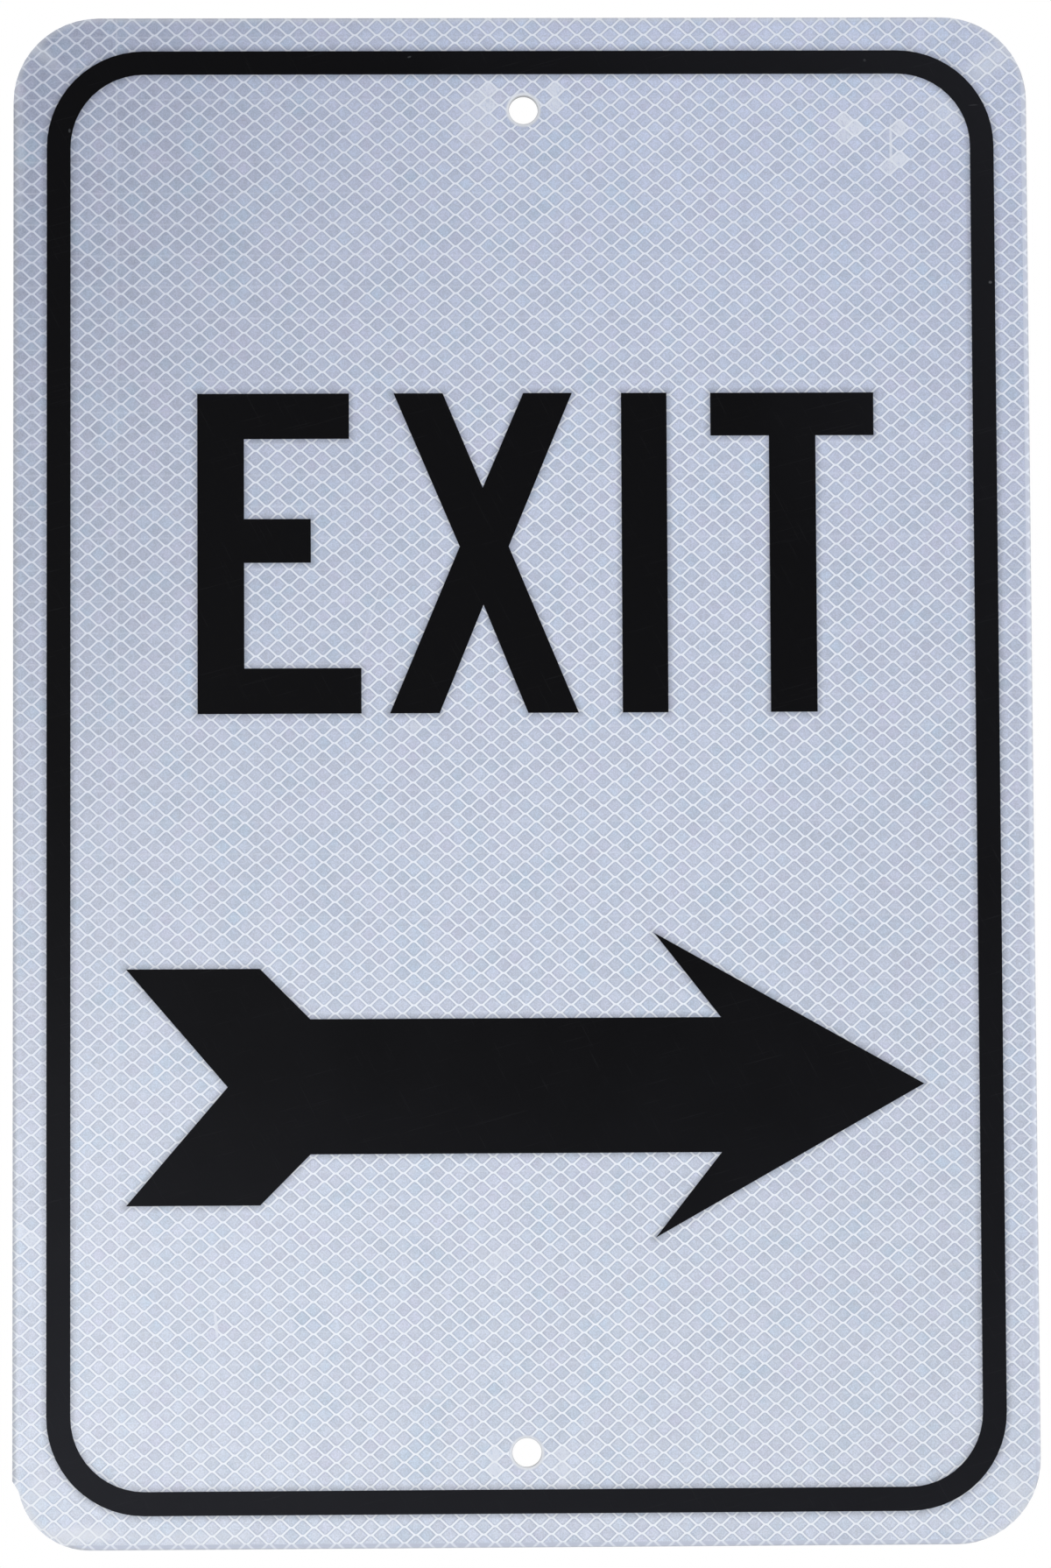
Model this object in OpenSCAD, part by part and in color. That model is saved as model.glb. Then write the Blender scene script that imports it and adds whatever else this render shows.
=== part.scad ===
// Exit arrow sign: a flat sheet aluminium blank faced with prismatic reflective
// sheeting, with a black border and a black arrow cut from overlay film.
// X is the width, Z the height, and the face looks along -Y.
// The back of the blank is the plane Y = 0, and the origin is in the middle of the sign.

/* [Blank] */
// Width of the sign
sign_w = 304.8; // [200:0.1:600]
// Height of the sign
sign_h = 457.2; // [300:0.1:900]
// Thickness of the aluminium sheet
blank_t = 2.03; // [1:0.01:4]
// Radius of the corners, apart from the lower left one
corner_r = 25.4; // [6:0.1:38]

/* [Lower left corner] */
// Radius of the lower left corner, whose cut strayed in from the left edge
stray_r = 21.5; // [15:0.1:30]
// How far inside the left edge that cut lies
stray_in = 1.5; // [0.2:0.1:3]
// Height above the bottom edge where the left edge starts to slant in to the cut
stray_start = 20.5; // [17:0.1:21]
// Height over which it slants in by twice that distance
stray_slant = 4.8; // [2:0.1:8]

/* [Sheared edges] */
// Width of the band that the shear rolled over, along the right and bottom edges
shear_roll_w = 1.55; // [0.8:0.05:3]
// How far the face drops at the outside of that band
shear_roll_drop = 0.3; // [0.1:0.05:0.6]

/* [Bolt holes] */
// Diameter of the two punched holes, one above the other
hole_d = 8.7; // [5:0.1:12]
// Distance from each hole's centre to the nearer end of the sign
hole_inset = 27.85; // [23:0.05:60]
// How far right of the middle the upper hole was punched
upper_hole_x = 0.75; // [-2:0.05:2]
// How far right of the middle the lower hole was punched
lower_hole_x = -0.15; // [-2:0.05:2]
// Width of the ring that the punch drew down round each hole
punch_roll_w = 1.1; // [0.5:0.05:1.8]
// How far the face drops at the edge of each hole
punch_roll_drop = 0.2; // [0.05:0.05:0.4]

/* [Sheeting] */
// Thickness of the reflective sheeting with its adhesive
sheeting_t = 0.4; // [0.2:0.05:0.8]

/* [Black film] */
// Thickness of the black overlay film
film_t = 0.1; // [0.05:0.01:0.3]
// Distance from the edge of the sign to the border
border_inset = 10; // [4:0.1:12]
// Width of the border line
border_w = 7.1; // [3:0.1:9]
// Outer radius of the border's corners
border_r = 29.1; // [10:0.1:45]

/* [Arrow] */
// Bare face between the border and each end of the arrow
arrow_margin = 16.5; // [5:0.1:25]
// Height of the arrow's centre line above the bottom edge of the sign
arrow_rise = 136.4; // [85:0.1:200]
// Height of the shaft
shaft_h = 40.1; // [20:0.1:60]
// Height across the two tail flights
flight_h = 70.2; // [62:0.1:86]
// Length of each flight's straight outer edge
flight_l = 39.8; // [31:0.1:60]
// Length over which a flight slopes in to the shaft
flight_slope = 15; // [5:0.1:30]
// Depth of the notch in the tail
notch_depth = 30.2; // [10:0.1:31]
// Height across the points of the head
head_h = 90.5; // [88:0.1:120]
// Length of the head, from the points of its barbs to its tip
head_l = 80.3; // [60:0.1:100]
// How far each barb sweeps back behind the place where the head meets the shaft
barb_sweep = 19.8; // [5:0.1:25]

/* [Hidden] */
$fn = 128;

// How far a cutter runs past what it cuts
spare = 1;
// Depths of the layers' fronts, measured from the back of the blank
sheeting_front = blank_t + sheeting_t;
film_front = sheeting_front + film_t;
// Height of the holes above and below the origin
hole_rise = sign_h / 2 - hole_inset;
// Centres of the holes, as width and height
hole_centres = [[upper_hole_x, hole_rise], [lower_hole_x, -hole_rise]];
// Radii of the arcs that the blank's face follows down at a sheared edge and at a hole
shear_roll_r = roll_radius(shear_roll_w, shear_roll_drop);
punch_roll_r = roll_radius(punch_roll_w, punch_roll_drop);

// Radius of an arc that leaves a flat face and drops by one length over another
function roll_radius(width, drop) = (width * width + drop * drop) / (2 * drop);

// Turns an outline, drawn as width and height, into a layer between two depths
module layer(back, front) {
  translate([0, -back, 0])
    rotate([90, 0, 0])
      linear_extrude(front - back) children();
}

// Waste of a round corner. The corner is the origin, and the sheet lies towards +X and +Y.
module corner_waste(radius) {
  difference() {
    translate([-spare, -spare]) square(radius + spare);
    translate([radius, radius]) circle(radius);
  }
}

// Waste of the lower left corner: a tighter arc that lies in from the left edge,
// which slants in to meet it
module strayed_waste() {
  side = stray_r + stray_in;
  slant_foot = stray_start - stray_slant;
  difference() {
    polygon([
      [-spare, -spare],
      [side, -spare],
      [side, slant_foot],
      [2 * stray_in, slant_foot],
      [0, stray_start],
      [-spare, stray_start]
    ]);
    translate([side, stray_r]) circle(stray_r);
  }
}

// Puts what is drawn at a corner on one of the corners of a rectangle.
// It is the lower left one unless side or end is 1.
module at_corner(width, height, side, end) {
  mirror([side, 0]) mirror([0, end])
    translate([-width / 2, -height / 2]) children();
}

// Rectangle with round corners
module rounded_outline(width, height, radius) {
  difference() {
    square([width, height], center = true);
    for (side = [0, 1], end = [0, 1])
      at_corner(width, height, side, end) corner_waste(radius);
  }
}

// Outline of the sign with its two bolt holes
module sign_outline() {
  difference() {
    square([sign_w, sign_h], center = true);
    at_corner(sign_w, sign_h, 0, 0) strayed_waste();
    for (corner = [[0, 1], [1, 0], [1, 1]])
      at_corner(sign_w, sign_h, corner.x, corner.y) corner_waste(corner_r);
    for (centre = hole_centres)
      translate(centre) circle(d = hole_d);
  }
}

// What is missing outside a rolled edge: the corner between a face and the arc under it.
// The arc's centre is the origin, X points off the edge and Y out of the face.
module roll_section(width, radius) {
  difference() {
    square([width + 2 * spare, radius + spare]);
    circle(radius);
  }
}

// Roll along a sheared edge on the +X side
module shear_roll(edge, length, cover) {
  translate([edge - shear_roll_w, shear_roll_r - blank_t, 0])
    linear_extrude(length + 4 * spare, center = true)
      mirror([0, 1]) roll_section(shear_roll_w, shear_roll_r + cover);
}

// Roll round the rim of a punched hole along Y
module punch_roll(cover) {
  rotate([90, 0, 0])
    rotate_extrude()
      translate([hole_d / 2 + punch_roll_w, blank_t - punch_roll_r])
        mirror([1, 0]) roll_section(punch_roll_w, punch_roll_r + cover);
}

// All that lies under the face of the blank, or under a cover on it. Both faces share
// the centres of their arcs, so the cover keeps its thickness where it follows a roll.
module under_face(cover) {
  difference() {
    layer(-spare, blank_t + cover)
      square([sign_w + 2 * spare, sign_h + 2 * spare], center = true);
    shear_roll(sign_w / 2, sign_h, cover);
    rotate([0, 90, 0]) shear_roll(sign_h / 2, sign_w, cover);
    for (centre = hole_centres)
      translate([centre.x, 0, centre.y]) punch_roll(cover);
  }
}

// Outline of the arrow about its own centre: a notched tail with two flights,
// a straight shaft, and a head whose barbs sweep back
module arrow_outline() {
  tip = sign_w / 2 - border_inset - border_w - arrow_margin;
  tail = -tip;
  head = tip - head_l;
  upper_edge = [
    [tail, flight_h / 2],
    [tail + flight_l, flight_h / 2],
    [tail + flight_l + flight_slope, shaft_h / 2],
    [head + barb_sweep, shaft_h / 2],
    [head, head_h / 2]
  ];
  lower_edge = [for (i = [len(upper_edge) - 1 : -1 : 0]) [upper_edge[i].x, -upper_edge[i].y]];
  polygon(concat([[tail + notch_depth, 0]], upper_edge, [[tip, 0]], lower_edge));
}

// Sheet aluminium blank, sheared and punched from the face side
module sign_blank() {
  color([0.76, 0.77, 0.78])
    intersection() {
      layer(0, blank_t) sign_outline();
      under_face(0);
    }
}

// Prismatic reflective sheeting that covers the whole face, over the rolled edges too
module reflective_sheeting() {
  color([0.77, 0.81, 0.89])
    difference() {
      intersection() {
        layer(0, sheeting_front) sign_outline();
        under_face(sheeting_t);
      }
      under_face(0);
    }
}

// Border line in black film
module border_film() {
  color([0.07, 0.07, 0.08])
    layer(sheeting_front, film_front)
      difference() {
        rounded_outline(sign_w - 2 * border_inset, sign_h - 2 * border_inset, border_r);
        rounded_outline(
          sign_w - 2 * (border_inset + border_w),
          sign_h - 2 * (border_inset + border_w),
          border_r - border_w
        );
      }
}

// Arrow in black film
module arrow_film() {
  color([0.07, 0.07, 0.08])
    translate([0, 0, arrow_rise - sign_h / 2])
      layer(sheeting_front, film_front) arrow_outline();
}

sign_blank();
reflective_sheeting();
border_film();
arrow_film();
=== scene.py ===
"""Exit arrow sign: a sheet aluminium blank with reflective sheeting and black film.

Metres throughout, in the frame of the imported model: X across, Z up, the face
looks along -Y, the back of the blank is Y = 0, and the origin is in the middle of
the sign. Sizes measured on the sign are written in millimetres and scaled.
"""
import math

import bmesh
import bpy
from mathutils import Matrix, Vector
from mathutils.geometry import delaunay_2d_cdt


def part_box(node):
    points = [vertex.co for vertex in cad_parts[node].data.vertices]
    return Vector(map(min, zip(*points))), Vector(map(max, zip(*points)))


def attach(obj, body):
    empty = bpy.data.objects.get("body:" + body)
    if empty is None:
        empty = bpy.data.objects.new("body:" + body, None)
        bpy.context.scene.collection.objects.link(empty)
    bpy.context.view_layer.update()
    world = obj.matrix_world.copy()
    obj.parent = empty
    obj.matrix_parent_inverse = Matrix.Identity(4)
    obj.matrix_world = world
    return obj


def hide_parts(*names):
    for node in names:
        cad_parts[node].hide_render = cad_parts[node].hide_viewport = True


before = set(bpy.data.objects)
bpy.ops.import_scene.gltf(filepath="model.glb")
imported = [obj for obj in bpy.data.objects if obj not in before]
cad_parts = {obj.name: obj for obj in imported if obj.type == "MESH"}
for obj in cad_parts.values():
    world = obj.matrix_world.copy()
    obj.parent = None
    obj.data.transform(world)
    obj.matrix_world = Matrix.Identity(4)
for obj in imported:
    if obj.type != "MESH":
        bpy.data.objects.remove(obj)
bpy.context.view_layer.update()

MM = 0.001


# Sheet aluminium blank
# One flat piece of mill finish sheet, sheared to size and punched from the face
# side, with its corners cut round. Only its back and its cut edges show.
def wire(tree, kind, sockets=(), **settings):
    """Adds a node to a tree, with each input joined to a socket or given a value."""
    node = tree.nodes.new(kind)
    for name, value in settings.items():
        setattr(node, name, value)
    for name, value in dict(sockets).items():
        if isinstance(value, bpy.types.NodeSocket):
            tree.links.new(value, node.inputs[name])
        else:
            node.inputs[name].default_value = value
    return node


def found(tree, kind):
    """The node of a kind that a tree holds only once."""
    return next(node for node in tree.nodes if node.type == kind)


def calc(tree, operation, *terms):
    """One arithmetic step on values."""
    return wire(tree, "ShaderNodeMath", enumerate(terms), operation=operation).outputs[0]


def product(tree, first, second):
    """The product of two values."""
    return calc(tree, "MULTIPLY", first, second)


def between(tree, value, low, high, at_low=0.0, at_high=1.0):
    """Eases from one number to another while a value runs from low to high."""
    return wire(
        tree,
        "ShaderNodeMapRange",
        {"Value": value, "From Min": low, "From Max": high, "To Min": at_low, "To Max": at_high},
        interpolation_type="SMOOTHSTEP",
    ).outputs[0]


def tint(tree, share, first, second, blend="MIX"):
    """Mixes two colours by a share from 0 to 1."""
    sockets = {0: share, 6: first, 7: second}
    return wire(tree, "ShaderNodeMix", sockets, data_type="RGBA", blend_type=blend).outputs[2]


def srgb(red, green, blue):
    """A colour as seen on a screen, 0 to 255, turned into the light it stands for."""
    parts = [c / 255 for c in (red, green, blue)]
    return [p / 12.92 if p <= 0.04045 else ((p + 0.055) / 1.055) ** 2.4 for p in parts] + [1.0]


def cloud(tree, place, size, detail=2.0, rough=0.5):
    """Soft patchy noise from 0 to 1, whose patches are about size millimetres across."""
    return wire(
        tree,
        "ShaderNodeTexNoise",
        {"Vector": place, "Scale": 1.0 / size, "Detail": detail, "Roughness": rough},
    ).outputs[0]


def turned(tree, place, turn):
    """The same place turned about Y."""
    sockets = {"Vector": place, "Angle": turn}
    return wire(tree, "ShaderNodeVectorRotate", sockets, rotation_type="Y_AXIS").outputs[0]


def stretched(tree, place, sizes):
    """The same place measured in units of a size for each direction."""
    units = {0: place, 1: [1 / size for size in sizes]}
    return wire(tree, "ShaderNodeVectorMath", units, operation="MULTIPLY").outputs[0]


def effect(name, takes, gives):
    """Starts a shader group with named inputs and outputs."""
    tree = bpy.data.node_groups.new(name, "ShaderNodeTree")
    for label, value in takes.items():
        kind = "NodeSocketVector" if value is None else "NodeSocketFloat"
        socket = tree.interface.new_socket(name=label, in_out="INPUT", socket_type=kind)
        if value is not None:
            socket.default_value = value
    for label in gives:
        tree.interface.new_socket(name=label, in_out="OUTPUT", socket_type="NodeSocketFloat")
    return tree, tree.nodes.new("NodeGroupInput").outputs, tree.nodes.new("NodeGroupOutput").inputs


def finish(name):
    """Starts a material, and gives its tree, its shader and the place on the sign in mm."""
    material = bpy.data.materials.new(name)
    material.use_nodes = True
    tree = material.node_tree
    where = wire(tree, "ShaderNodeTexCoord").outputs["Object"]
    place = wire(tree, "ShaderNodeMapping", {"Vector": where, "Scale": (1 / MM, 1 / MM, 1 / MM)})
    return material, tree, found(tree, "BSDF_PRINCIPLED"), place.outputs[0]


def raise_relief(tree, shader, height, tallest, strength=0.5):
    """Gives a shader fine relief. A height of 1 stands for the tallest, in millimetres."""
    metres = product(tree, height, tallest * MM)
    bump = wire(tree, "ShaderNodeBump", {"Height": metres, "Strength": strength, "Distance": 1.0})
    tree.links.new(bump.outputs[0], shader.inputs["Normal"])


def use(tree, group, **given):
    """Puts an effect in a material with its own values."""
    named = {label.replace("_", " "): value for label, value in given.items()}
    return wire(tree, "ShaderNodeGroup", named, node_tree=group).outputs


# Hairline scratches that all run one way, as from handling and stacking
hairlines, given, result = effect(
    "hairline scratches",
    {"Place": None, "Turn": 0.0, "Width": 0.25, "Length": 18.0, "Share": 0.3},
    ["Scratch"],
)
along = turned(hairlines, given["Place"], given["Turn"])
parts = wire(hairlines, "ShaderNodeSeparateXYZ", {0: along}).outputs
thin = wire(
    hairlines,
    "ShaderNodeCombineXYZ",
    {
        0: calc(hairlines, "DIVIDE", parts[0], given["Length"]),
        1: parts[1],
        2: calc(hairlines, "DIVIDE", parts[2], given["Width"]),
    },
).outputs[0]
streak = cloud(hairlines, thin, 1.0, 1.0)
RAREST_STREAK = 0.86
STREAK_EDGE = 0.05
bar = calc(hairlines, "SUBTRACT", RAREST_STREAK, product(hairlines, given["Share"], 0.3))
over = calc(hairlines, "DIVIDE", calc(hairlines, "SUBTRACT", streak, bar), STREAK_EDGE)
hairlines.links.new(wire(hairlines, "ShaderNodeClamp", {0: over}).outputs[0], result["Scratch"])

blank_metal, tree, shader, place = finish("mill finish aluminium")
back_tone, streak_tone, broad_tone = srgb(176, 178, 180), srgb(190, 192, 194), srgb(164, 167, 171)
cut_tone, torn_tone, scratch_tone = srgb(196, 197, 199), srgb(142, 144, 147), srgb(206, 207, 208)
# Sizes of the grain and of the marks in millimetres, across, through and up the sheet
FINE_ROLLING = (0.12, 1.0, 45.0)
BROAD_ROLLING = (9.0, 1.0, 160.0)
EDGE_DRAG = (0.25, 3.0, 0.25)
TEAR_GRAIN = 0.3
# How deep the edge is torn, from where to where it sets in, and how deep the back's skin is
TORN_DEPTH = (-1.25, -1.05)
SKIN_DEPTH = (-0.02, -0.01)
rolling = cloud(tree, stretched(tree, place, FINE_ROLLING), 1.0, 3.0, 0.6)
broad = cloud(tree, stretched(tree, place, BROAD_ROLLING), 1.0, 2.0)
colour = tint(tree, between(tree, rolling, 0.3, 0.7), back_tone, streak_tone)
colour = tint(tree, between(tree, broad, 0.35, 0.7, 0.0, 0.35), colour, broad_tone)
rub = use(tree, hairlines, Place=place, Turn=0.5, Width=0.22, Length=26.0, Share=0.62)["Scratch"]
knock = use(tree, hairlines, Place=place, Turn=-0.9, Width=0.3, Length=14.0, Share=0.56)["Scratch"]
rubbed = calc(tree, "MAXIMUM", rub, knock)
colour = tint(tree, product(tree, rubbed, 0.5), colour, scratch_tone)
# A cut edge is bright where the shear or the punch slid down it, and torn near the back
depth = wire(tree, "ShaderNodeSeparateXYZ", {0: place}).outputs[1]
drag = cloud(tree, stretched(tree, place, EDGE_DRAG), 1.0, 2.0)
wander = product(tree, calc(tree, "SUBTRACT", drag, 0.5), 0.5)
torn = between(tree, calc(tree, "ADD", depth, wander), *TORN_DEPTH)
tear_grain = cloud(tree, place, TEAR_GRAIN, 4.0, 0.7)
torn_colour = tint(tree, tear_grain, torn_tone, back_tone)
edge_colour = tint(tree, torn, tint(tree, drag, cut_tone, streak_tone), torn_colour)
on_edge = between(tree, depth, *SKIN_DEPTH, 1.0, 0.0)
tree.links.new(tint(tree, on_edge, colour, edge_colour), shader.inputs["Base Color"])
shader.inputs["Metallic"].default_value = 0.9
dull = calc(tree, "MULTIPLY_ADD", rolling, 0.16, 0.36)
dull = calc(tree, "MULTIPLY_ADD", product(tree, torn, on_edge), 0.2, dull)
tree.links.new(dull, shader.inputs["Roughness"])
relief = calc(tree, "SUBTRACT", product(tree, rolling, 0.004), product(tree, rubbed, 0.003))
edge_relief = product(tree, product(tree, tear_grain, torn), 0.06)
raise_relief(tree, shader, calc(tree, "MULTIPLY_ADD", edge_relief, on_edge, relief), 1.0, 0.6)
sign_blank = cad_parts["sign_blank"]
sign_blank.material_slots[0].material = blank_metal


# Reflective sheeting
# White prismatic film, bonded to the whole face before the blank was cut, so that
# it rolls over with the cut edges. Its prisms lie in cells, sealed off from each
# other by a lattice of pale welded lines, and each cell stands up in a faint crown.
SHEETING_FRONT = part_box("reflective_sheeting")[0].y
HALF_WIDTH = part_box("reflective_sheeting")[1].x / MM
HALF_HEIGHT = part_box("reflective_sheeting")[1].z / MM
# The sign's corners and the lattice, in millimetres. One crossing of the lattice's welds
# lies near the middle of the sign.
CORNER_RADIUS = 25.4
PITCH_ACROSS = 6.69
PITCH_UP = 4.742
CROSSING_ACROSS = 0.27
CROSSING_UP = -1.78
CELL_HALF_WIDTH = 2.52
CELL_HALF_HEIGHT = 2.41
CELL_TIP_RADIUS = 0.72
CELL_CROWN = 0.03
COLUMNS = 49
ROWS = 197
# Corners nearer each other than this are one
SAME_PLACE = 1e-6


def cell_lattice():
    """A tree that lays flat cells on a staggered grid in the plane of the face."""
    tree = bpy.data.node_groups.new("sealed cell lattice", "GeometryNodeTree")
    tree.interface.new_socket(name="Geometry", in_out="OUTPUT", socket_type="NodeSocketGeometry")
    takes = {
        "Pitch across": "Float", "Pitch up": "Float", "Columns": "Int", "Rows": "Int",
        "Cell half width": "Float", "Cell half height": "Float", "Tip radius": "Float",
        "Middle": "Vector", "Cell film": "Material",
    }
    for label, kind in takes.items():
        tree.interface.new_socket(name=label, in_out="INPUT", socket_type="NodeSocket" + kind)
    given = tree.nodes.new("NodeGroupInput").outputs
    half_across = product(tree, given["Pitch across"], 0.5)
    half_up = product(tree, given["Pitch up"], 0.5)
    grid = wire(
        tree,
        "GeometryNodeMeshGrid",
        {
            "Size X": product(tree, calc(tree, "SUBTRACT", given["Columns"], 1.0), given["Pitch across"]),
            "Size Y": product(tree, calc(tree, "SUBTRACT", given["Rows"], 1.0), half_up),
            "Vertices X": given["Columns"],
            "Vertices Y": given["Rows"],
        },
    ).outputs[0]
    row = calc(tree, "MODULO", wire(tree, "GeometryNodeInputIndex").outputs[0], given["Rows"])
    odd = calc(tree, "MODULO", row, 2.0)
    step = wire(tree, "ShaderNodeCombineXYZ", {0: product(tree, odd, half_across)}).outputs[0]
    staggered = wire(tree, "GeometryNodeSetPosition", {"Geometry": grid, "Offset": step}).outputs[0]
    diamond = wire(
        tree,
        "GeometryNodeCurvePrimitiveQuadrilateral",
        {
            "Width": product(tree, given["Cell half width"], 2.0),
            "Bottom Height": given["Cell half height"],
            "Top Height": given["Cell half height"],
        },
        mode="KITE",
    ).outputs[0]
    position = wire(tree, "GeometryNodeInputPosition").outputs[0]
    spot = wire(tree, "ShaderNodeSeparateXYZ", {0: position}).outputs
    is_tip = calc(tree, "LESS_THAN", calc(tree, "ABSOLUTE", spot[0]), SAME_PLACE)
    rounded = wire(
        tree,
        "GeometryNodeFilletCurve",
        {"Curve": diamond, "Count": 2, "Radius": product(tree, is_tip, given["Tip radius"])},
        mode="POLY",
    ).outputs[0]
    cell = wire(tree, "GeometryNodeFillCurve", {0: rounded}, mode="NGONS").outputs[0]
    laid = wire(tree, "GeometryNodeInstanceOnPoints", {"Points": staggered, "Instance": cell})
    upright = wire(
        tree,
        "GeometryNodeTransform",
        {"Geometry": laid.outputs[0], "Translation": given["Middle"], "Rotation": (math.pi / 2, 0, 0)},
    ).outputs[0]
    real = wire(tree, "GeometryNodeRealizeInstances", {0: upright}).outputs[0]
    dressed = wire(
        tree, "GeometryNodeSetMaterial", {"Geometry": real, "Material": given["Cell film"]}
    ).outputs[0]
    tree.links.new(dressed, tree.nodes.new("NodeGroupOutput").inputs[0])
    return tree


def placed(name, data):
    """Puts a new object with the given data in the scene."""
    piece = bpy.data.objects.new(name, data)
    bpy.context.scene.collection.objects.link(piece)
    return piece


def plain_mesh(name, tree, **given):
    """Runs a geometry tree with its inputs set, and keeps the mesh that it makes."""
    maker = placed(name, bpy.data.meshes.new(name))
    modifier = maker.modifiers.new(name, "NODES")
    modifier.node_group = tree
    for item in tree.interface.items_tree:
        if item.in_out == "INPUT":
            modifier[item.identifier] = given[item.name.replace(" ", "_")]
    bpy.context.view_layer.update()
    made = bpy.data.meshes.new_from_object(maker.evaluated_get(bpy.context.evaluated_depsgraph_get()))
    maker.modifiers.clear()
    bpy.data.objects.remove(maker)
    return made


def ordered_rims(edges):
    """Walks loose edges into closed rims, each a list of vertices in order."""
    beside = {}
    for edge in edges:
        for vert in edge.verts:
            beside.setdefault(vert, []).append(edge.other_vert(vert))
    rims = []
    while beside:
        rim = [next(iter(beside))]
        while True:
            onward = [v for v in beside.pop(rim[-1]) if v in beside]
            if not onward:
                break
            rim.append(onward[0])
        rims.append(rim)
    return rims


def area_of(points):
    """Area inside a flat rim, positive when it runs anticlockwise."""
    sides = zip(points, points[1:] + points[:1])
    return sum(a.x * b.y - b.x * a.y for a, b in sides) / 2


CELL, SEAL, CRUSHED = 0, 1, 2


def flat(corner):
    """Where a corner lies on the face, across and up in millimetres."""
    return Vector((corner.x / MM, corner.z / MM))


def open_front(cut):
    """Takes the flat front out of the sheet, and gives its rims, run anticlockwise."""
    front = [
        face for face in cut.faces
        if all(abs(vert.co.y - SHEETING_FRONT) < SAME_PLACE / 10 for vert in face.verts)
    ]
    inside = set(front)
    rim_edges = [e for e in cut.edges if sum(face in inside for face in e.link_faces) == 1]
    bmesh.ops.delete(cut, geom=front, context="FACES_ONLY")
    bmesh.ops.delete(cut, geom=[e for e in cut.edges if not e.link_faces], context="EDGES")
    for edge in rim_edges:
        edge.smooth = False
    rims = ordered_rims(rim_edges)
    for rim in rims:
        if area_of([flat(vert.co) for vert in rim]) < 0:
            rim.reverse()
    return rims


def share_corners(cut, rims, verts, met):
    """Where a weld runs off the sheet, gives the rolled face beside it the same corner."""
    for rim in rims:
        for a, b in zip(rim, rim[1:] + rim[:1]):
            edge = cut.edges.get((a, b))
            run = b.co - a.co
            on_edge = []
            for k in met:
                share = (verts[k].co - a.co).dot(run) / run.length_squared
                if 0 < share < 1 and (a.co + run * share - verts[k].co).length < SAME_PLACE / 5:
                    on_edge.append((share, k))
            start, done = a, 0.0
            for share, k in sorted(on_edge):
                _, added = bmesh.utils.edge_split(edge, start, (share - done) / (1 - done))
                cut.verts.remove(verts[k])
                verts[k] = added
                edge = cut.edges.get((added, b))
                start, done = added, share


def lay_lattice(sheet, cells):
    """Cuts the lattice into the flat front of the sheet, from rim to rim."""
    cut = bmesh.new()
    cut.from_mesh(sheet)
    bmesh.ops.remove_doubles(cut, verts=cut.verts, dist=SAME_PLACE)
    for face in cut.faces:
        face.material_index = CRUSHED
    rims = open_front(cut)
    points, outlines = [], []
    for rim in rims:
        outlines.append(list(range(len(points), len(points) + len(rim))))
        points += [flat(vert.co) for vert in rim]
    carried = dict(enumerate(vert for rim in rims for vert in rim))
    outer = max(range(len(rims)), key=lambda i: area_of([points[k] for k in outlines[i]]))
    middles = {}
    for polygon in cells.polygons:
        ring = [flat(cells.vertices[k].co) for k in polygon.vertices]
        middle = sum(ring, Vector((0, 0))) / len(ring)
        if abs(middle.x) > HALF_WIDTH + PITCH_ACROSS or abs(middle.y) > HALF_HEIGHT + PITCH_UP:
            continue
        outlines.append(list(range(len(points), len(points) + len(ring))))
        middles[len(outlines) - 1] = len(points) + len(ring)
        points += ring + [middle]
    flat_points, _, triangles, from_points, _, from_outlines = delaunay_2d_cdt(
        points, [], outlines, 0, SAME_PLACE
    )
    kept = [
        (triangle, [k for k in sources if k in middles])
        for triangle, sources in zip(triangles, from_outlines)
        if outer in sources and not any(k not in middles and k != outer for k in sources)
    ]
    used = {k for triangle, _ in kept for k in triangle}
    kept_as = {source: k for k in used for source in from_points[k]}
    # Only a whole cell stands up in a crown: a cut one is pressed flat
    crowned = {
        kept_as[middle]
        for cell, middle in middles.items()
        if middle in kept_as and all(p in kept_as for p in outlines[cell])
    }
    verts = {}
    for k in used:
        on_rim = [carried[source] for source in from_points[k] if source in carried]
        x, z = flat_points[k]
        y = SHEETING_FRONT - (CELL_CROWN * MM if k in crowned else 0)
        verts[k] = on_rim[0] if on_rim else cut.verts.new((x * MM, y, z * MM))
    share_corners(cut, rims, verts, [k for k in used if not from_points[k]])
    for triangle, sources in kept:
        face = cut.faces.new([verts[k] for k in triangle])
        face.material_index = CELL if sources else SEAL
    made = bpy.data.meshes.new("reflective_sheeting")
    cut.to_mesh(made)
    cut.free()
    return made


# How deep a place lies inside the cut edge of the sign, in millimetres
inside_edge, given, result = effect(
    "distance from the cut edge",
    {"Place": None, "Half width": HALF_WIDTH, "Half height": HALF_HEIGHT, "Corner radius": CORNER_RADIUS},
    ["Inside"],
)
spot = wire(inside_edge, "ShaderNodeSeparateXYZ", {0: given["Place"]}).outputs
beyond = []
for axis, half in ((0, "Half width"), (2, "Half height")):
    off_middle = calc(inside_edge, "ABSOLUTE", spot[axis])
    straight = calc(inside_edge, "SUBTRACT", given[half], given["Corner radius"])
    beyond.append(calc(inside_edge, "SUBTRACT", off_middle, straight))
outward = [calc(inside_edge, "MAXIMUM", value, 0.0) for value in beyond]
squares = [product(inside_edge, value, value) for value in outward]
round_part = calc(inside_edge, "SQRT", calc(inside_edge, "ADD", *squares))
flat_part = calc(inside_edge, "MINIMUM", calc(inside_edge, "MAXIMUM", *beyond), 0.0)
past_middle = calc(inside_edge, "ADD", round_part, flat_part)
depth_in = calc(inside_edge, "SUBTRACT", given["Corner radius"], past_middle)
inside_edge.links.new(depth_in, result["Inside"])

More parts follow.
